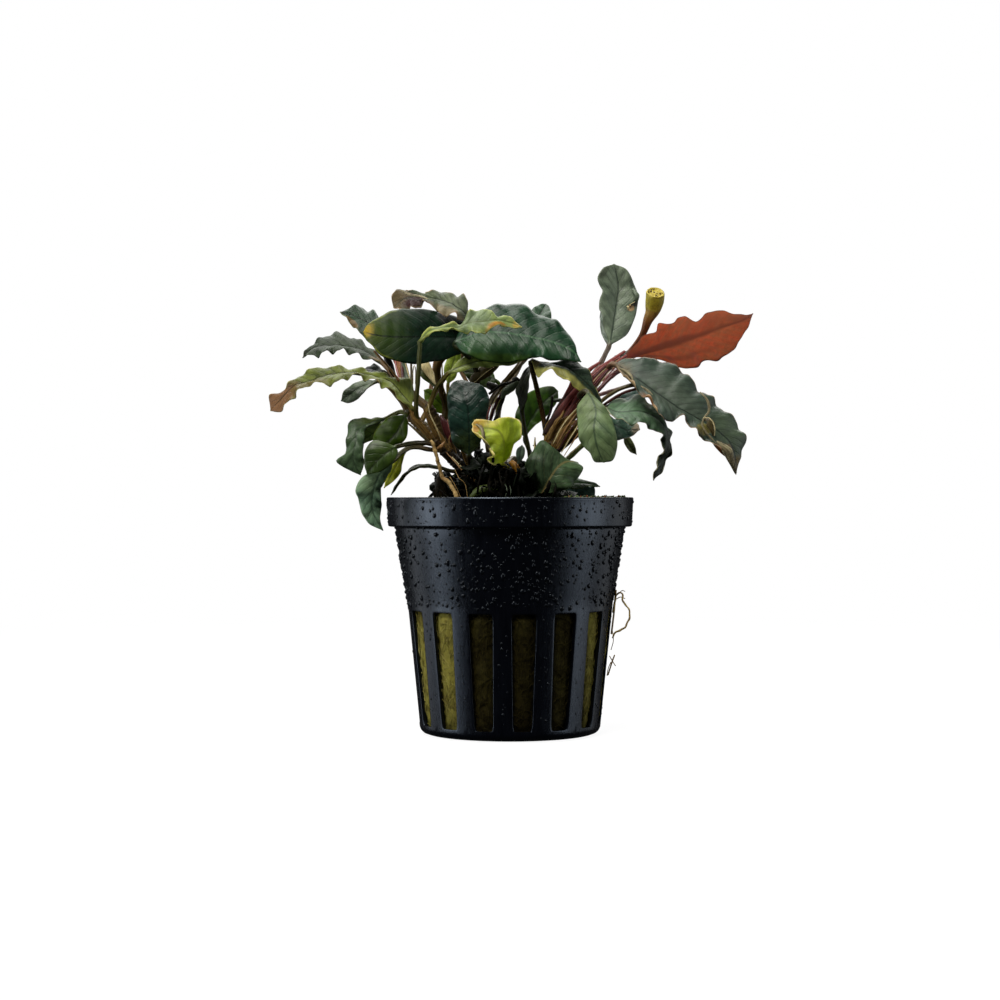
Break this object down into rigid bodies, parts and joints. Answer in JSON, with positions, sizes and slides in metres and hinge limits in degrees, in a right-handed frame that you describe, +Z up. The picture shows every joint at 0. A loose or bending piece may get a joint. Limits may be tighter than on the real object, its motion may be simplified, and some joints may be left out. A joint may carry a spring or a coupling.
{
  "type": "potted aquarium plant",
  "caption": "Potted bucephalandra aquarium plant: wavy dark and grey-green leaves on creeping rhizomes, in a black slotted net pot of rock wool.",
  "frame": {"origin": "middle of the pot's flat underside", "axes": "+Z up out of the pot, -Y towards the pictured front, +X to its right"},
  "size_m": [0.1067, 0.0721, 0.1032],
  "materials": {
    "pot_black": "black moulded plastic with a soft bluish sheen, wet",
    "rock_wool": "wet olive mineral fibre",
    "rhizome_brown": "ringed brown stem, satin",
    "root_tan": "tan root, satin",
    "fruit_ochre": "ochre cup on a red-brown stalk",
    "leaf_dark": "dark teal green leaf, leathery satin",
    "leaf_grey": "grey-green leaf with a pale bloom",
    "leaf_sage": "pale sage leaf",
    "leaf_olive": "olive leaf",
    "leaf_lime": "yellow-green leaf",
    "leaf_red": "brick red leaf underside",
    "leaf_brown": "dark brown leaf"
  },
  "bodies": {
    "root": {"net_pot": "pot_black", "wool_plug": "rock_wool", "rhizome_left": "rhizome_brown", "rhizome_fork": "rhizome_brown", "rhizome_centre": "rhizome_brown", "rhizome_right": "rhizome_brown", "rhizome_back": "rhizome_brown", "root_tan": "root_tan", "root_side": "root_tan", "fruit_cup": "fruit_ochre", "leaf_upper_left": "leaf_dark", "leaf_left_wavy": "leaf_grey", "leaf_left_long": "leaf_olive", "leaf_left_stub": "leaf_grey", "leaf_scrap_left": "leaf_dark", "leaf_big_left": "leaf_dark", "leaf_pale_arched": "leaf_lime", "leaf_top_wavy": "leaf_grey", "leaf_big_right": "leaf_dark", "leaf_tip_behind": "leaf_grey", "leaf_scrap_lime": "leaf_lime", "leaf_olive_under": "leaf_olive", "leaf_brown": "leaf_brown", "leaf_backlit_left": "leaf_olive", "leaf_teal_centre": "leaf_dark", "leaf_lime_curled": "leaf_lime", "leaf_hanging_olive": "leaf_olive", "leaf_hanging_teal": "leaf_dark", "leaf_hanging_mid": "leaf_dark", "leaf_hanging_yellow": "leaf_lime", "leaf_over_rim": "leaf_grey", "leaf_thin_arch": "leaf_dark", "leaf_narrow_dark": "leaf_dark", "leaf_arched_dark": "leaf_dark", "leaf_backlit_mid": "leaf_olive", "leaf_grey_low": "leaf_grey", "leaf_low_right": "leaf_dark", "leaf_low_tip": "leaf_dark", "leaf_upright": "leaf_grey", "leaf_red": "leaf_red", "leaf_drooping": "leaf_grey", "leaf_right_hanging": "leaf_sage", "leaf_teal_behind": "leaf_dark", "leaf_torn": "leaf_dark", "leaf_small_hanging": "leaf_olive", "leaf_sage_front": "leaf_sage", "leaf_tip_right": "leaf_grey", "leaf_back_1": "leaf_dark", "leaf_back_2": "leaf_grey", "leaf_back_3": "leaf_dark", "leaf_back_4": "leaf_olive", "leaf_back_5": "leaf_dark", "leaf_back_6": "leaf_grey", "leaf_back_7": "leaf_dark", "leaf_back_8": "leaf_olive", "leaf_back_9": "leaf_grey", "leaf_back_10": "leaf_dark", "leaf_back_11": "leaf_dark"}
  },
  "joints": []
}
